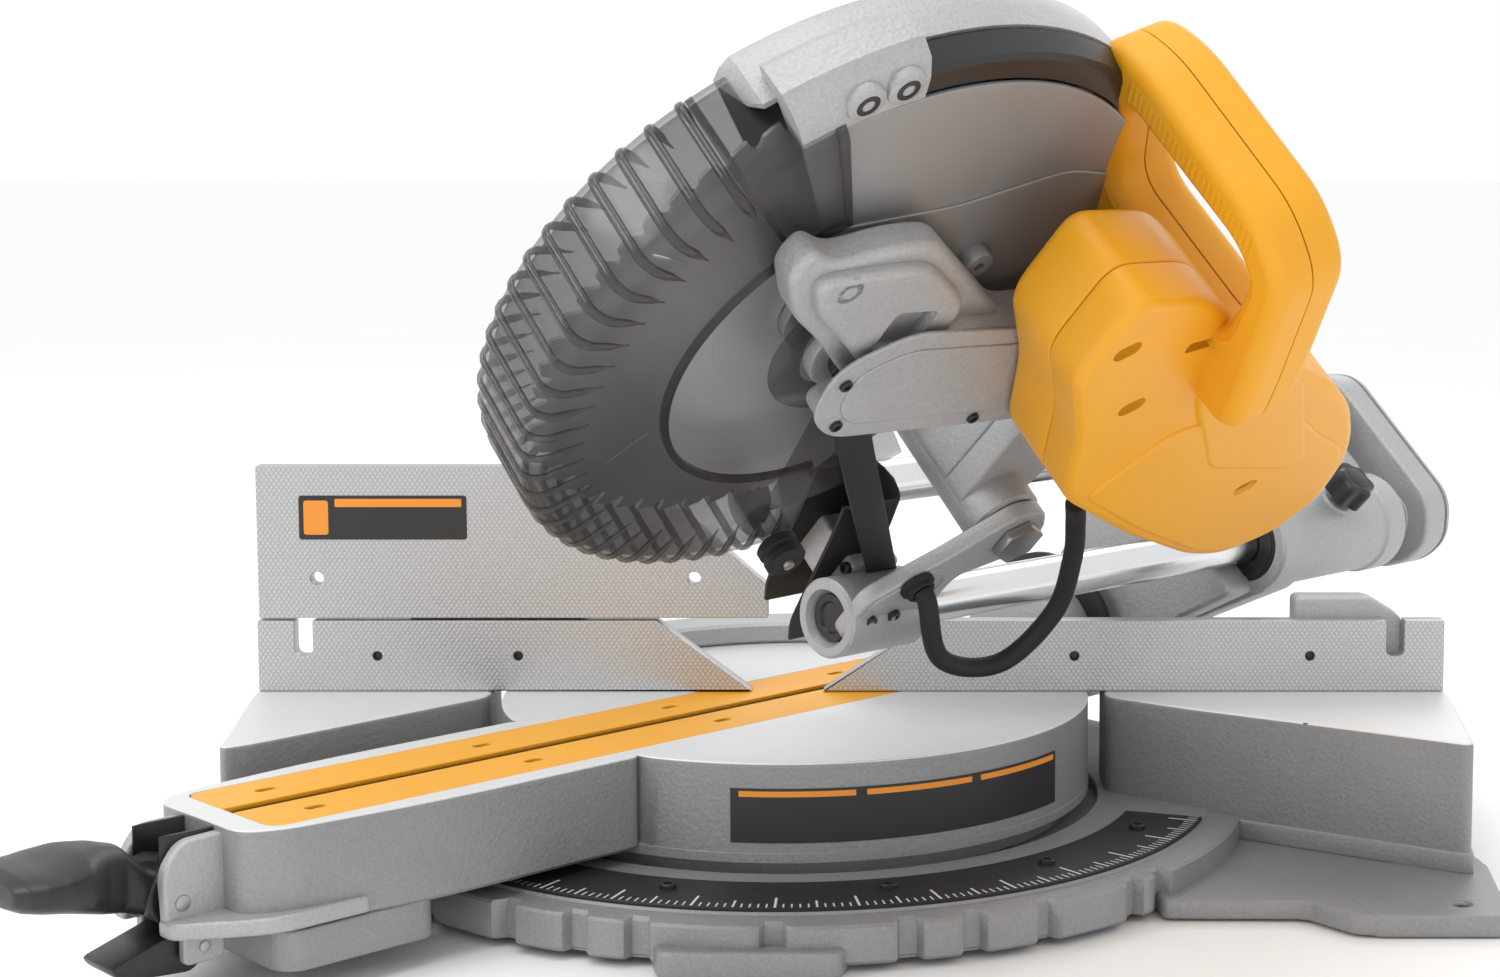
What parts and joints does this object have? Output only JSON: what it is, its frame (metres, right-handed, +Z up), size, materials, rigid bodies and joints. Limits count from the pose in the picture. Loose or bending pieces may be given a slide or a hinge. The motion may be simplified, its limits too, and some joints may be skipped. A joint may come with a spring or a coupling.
{
  "type": "sliding miter saw",
  "caption": "Sliding compound miter saw on a ring base: turntable and arm at 45 degrees, head leaning over on two rails, guarded blade, D-handle and split fence.",
  "frame": {"origin": "the miter pivot axis where it meets the bench", "axes": "+Z up, +X to the operator's right along the fence, +Y to the back"},
  "size_m": [0.8203, 0.811, 0.4954],
  "materials": {
    "cast_aluminium": "sand-cast and lightly painted light grey",
    "machined_aluminium": "bright milled faces over a textured casting",
    "steel": "brushed",
    "dark_steel": "dark oxide",
    "chromed_tube": "ground and chromed",
    "yellow_plastic": "fine-grained moulded",
    "black_plastic": "moulded, satin",
    "scale_black": "black with light graduations",
    "black_rubber": "matte",
    "smoked_guard": "smoked clear polycarbonate",
    "copper_winding": "varnished winding",
    "blade_steel": "ground, with radial lines"
  },
  "bodies": {
    "base": {"base_casting": "cast_aluminium", "miter_scale_plate": "scale_black", "fixed_fence": "machined_aluminium"},
    "left_fence": {"sliding_fence_left": "machined_aluminium"},
    "fence_knob": {"fence_clamp_knob": "black_plastic"},
    "miter_table": {"turntable": "cast_aluminium", "kerf_plate_left": "yellow_plastic", "kerf_plate_right": "yellow_plastic", "miter_pivot_bolt": "steel", "lever_pocket": "black_plastic", "lever_pin": "steel", "latch_pin": "steel", "miter_pointer": "yellow_plastic", "bevel_shaft": "steel", "bevel_scale": "scale_black"},
    "miter_lever": {"miter_lock_lever": "black_plastic"},
    "lock_rod": {"miter_lock_rod": "steel"},
    "detent_latch": {"miter_detent_latch": "black_plastic"},
    "bevel_frame": {"bevel_housing": "cast_aluminium", "rail_bearing_left_front": "dark_steel", "rail_bearing_left_rear": "dark_steel", "rail_bearing_right_front": "dark_steel", "rail_bearing_right_rear": "dark_steel"},
    "rail_knob": {"rail_lock_knob": "black_plastic"},
    "bevel_lever": {"bevel_clamp_lever": "black_plastic"},
    "carriage": {"rail_left": "chromed_tube", "rail_right": "chromed_tube", "rail_end_bracket": "cast_aluminium", "carriage_casting": "cast_aluminium", "chop_pivot_pin": "steel", "return_spring": "dark_steel", "dust_chute": "black_rubber", "power_cable": "black_rubber"},
    "stop_plate": {"depth_stop_plate": "dark_steel"},
    "lockdown": {"lockdown_pin": "black_plastic"},
    "link": {"guard_link": "black_plastic"},
    "head": {"head_casting": "cast_aluminium", "gear_case": "cast_aluminium", "gear_case_cover": "cast_aluminium", "upper_guard": "cast_aluminium", "upper_guard_plate": "steel", "blade_access_cover": "steel", "motor_housing": "yellow_plastic", "motor_end_cover": "yellow_plastic", "motor_field": "dark_steel", "handle_front_shell": "yellow_plastic", "handle_rear_shell": "yellow_plastic", "arbor_bearing": "dark_steel", "drive_belt": "black_rubber"},
    "trigger_body": {"trigger": "black_plastic"},
    "stop_screw": {"depth_stop_screw": "steel"},
    "spindle_lock": {"spindle_lock_button": "yellow_plastic"},
    "spindle": {"arbor_shaft": "steel", "saw_blade": "blade_steel", "outer_flange": "steel", "arbor_screw": "dark_steel", "spindle_pulley": "steel"},
    "rotor": {"motor_rotor": "copper_winding"},
    "guard": {"lower_guard": "smoked_guard"},
    "roller": {"guard_roller": "black_rubber"}
  },
  "joints": [
    {"name": "left_fence_slide", "type": "slide", "parent": "base", "child": "left_fence", "axis": [-1, 0, 0], "range_m": [0, 0.08]},
    {"name": "fence_knob_turn", "type": "hinge", "parent": "left_fence", "child": "fence_knob", "pos_m": [-0.184, 0.04, 0.126], "axis": [0, 1, 0], "range_deg": [-90, 0]},
    {"name": "miter_turn", "type": "hinge", "parent": "base", "child": "miter_table", "pos_m": [0, 0, 0], "axis": [0, 0, 1], "range_deg": [-5, 105]},
    {"name": "miter_lever_lift", "type": "hinge", "parent": "miter_table", "child": "miter_lever", "pos_m": [-0.29981, -0.29981, 0.052], "axis": [0.7071, -0.7071, 0], "range_deg": [-33, 0]},
    {"name": "lock_rod_slide", "type": "slide", "parent": "miter_table", "child": "lock_rod", "axis": [0.7071, 0.7071, 0], "range_m": [-0.001, 0]},
    {"name": "detent_latch_tip", "type": "hinge", "parent": "miter_table", "child": "detent_latch", "pos_m": [-0.29203, -0.29203, 0.028], "axis": [0.7071, -0.7071, 0], "range_deg": [0, 8], "stiffness_Nm_per_rad": 0.4, "springref_deg": -17.19},
    {"name": "bevel_tilt", "type": "hinge", "parent": "miter_table", "child": "bevel_frame", "pos_m": [0, 0, 0.086], "axis": [-0.7071, -0.7071, 0], "range_deg": [-4, 46]},
    {"name": "rail_knob_turn", "type": "hinge", "parent": "bevel_frame", "child": "rail_knob", "pos_m": [0.35359, 0.12159, 0.19065], "axis": [0.5, -0.5, 0.7071], "range_deg": [-180, 180]},
    {"name": "bevel_lever_turn", "type": "hinge", "parent": "bevel_frame", "child": "bevel_lever", "pos_m": [0.22415, 0.22415, 0.086], "axis": [0.7071, 0.7071, 0], "range_deg": [0, 40]},
    {"name": "rail_slide", "type": "slide", "parent": "bevel_frame", "child": "carriage", "axis": [0.7071, 0.7071, 0], "range_m": [0, 0.24]},
    {"name": "stop_plate_slide", "type": "slide", "parent": "carriage", "child": "stop_plate", "axis": [0.7071, 0.7071, 0], "range_m": [0, 0.018]},
    {"name": "lockdown_push", "type": "slide", "parent": "carriage", "child": "lockdown", "axis": [0.5, -0.5, -0.7071], "range_m": [-0.012, 0]},
    {"name": "chop", "type": "hinge", "parent": "carriage", "child": "head", "pos_m": [0.09836, -0.12664, 0.2451], "axis": [0.5, -0.5, -0.7071], "range_deg": [0, 55.6], "deforming": ["power_cable"]},
    {"name": "guard_link_swing", "type": "hinge", "parent": "carriage", "child": "link", "pos_m": [0.05616, -0.10283, 0.15883], "axis": [0.5, -0.5, -0.7071], "range_deg": [0, 53]},
    {"name": "trigger_squeeze", "type": "slide", "parent": "head", "child": "trigger_body", "axis": [0.0795, -0.7866, 0.6124], "range_m": [0, 0.005], "stiffness_N_per_m": 800, "springref_m": -0.003},
    {"name": "stop_screw_adjust", "type": "slide", "parent": "head", "child": "stop_screw", "axis": [-0.7071, -0.7071, 0], "range_m": [-0.008, 0.001]},
    {"name": "spindle_lock_push", "type": "slide", "parent": "head", "child": "spindle_lock", "axis": [-0.5, 0.5, -0.7071], "range_m": [0, 0.0025], "stiffness_N_per_m": 900, "springref_m": -0.002},
    {"name": "spindle_spin", "type": "hinge", "parent": "head", "child": "spindle", "pos_m": [0.03147, -0.33553, 0.34551], "axis": [0.5, -0.5, -0.7071], "continuous": true},
    {"name": "rotor_spin", "type": "hinge", "parent": "head", "child": "rotor", "pos_m": [0.15772, -0.21428, 0.34904], "axis": [0.5, -0.5, -0.7071], "continuous": true},
    {"name": "guard_lift", "type": "hinge", "parent": "head", "child": "guard", "pos_m": [0.03147, -0.33553, 0.34551], "axis": [0.5, -0.5, -0.7071], "range_deg": [-136, 0]},
    {"name": "guard_roller_spin", "type": "hinge", "parent": "guard", "child": "roller", "pos_m": [0.0035, -0.2425, 0.21186], "axis": [0.5, -0.5, -0.7071], "continuous": true}
  ],
  "couplings": [
    {"joint": "lock_rod_slide", "follows": "miter_lever_lift", "m_per_rad": 0.0017},
    {"joint": "guard_lift", "follows": "chop", "ratio": -2.428},
    {"joint": "guard_link_swing", "follows": "chop", "ratio": 0.95},
    {"joint": "rotor_spin", "follows": "spindle_spin", "ratio": 1.4286}
  ]
}
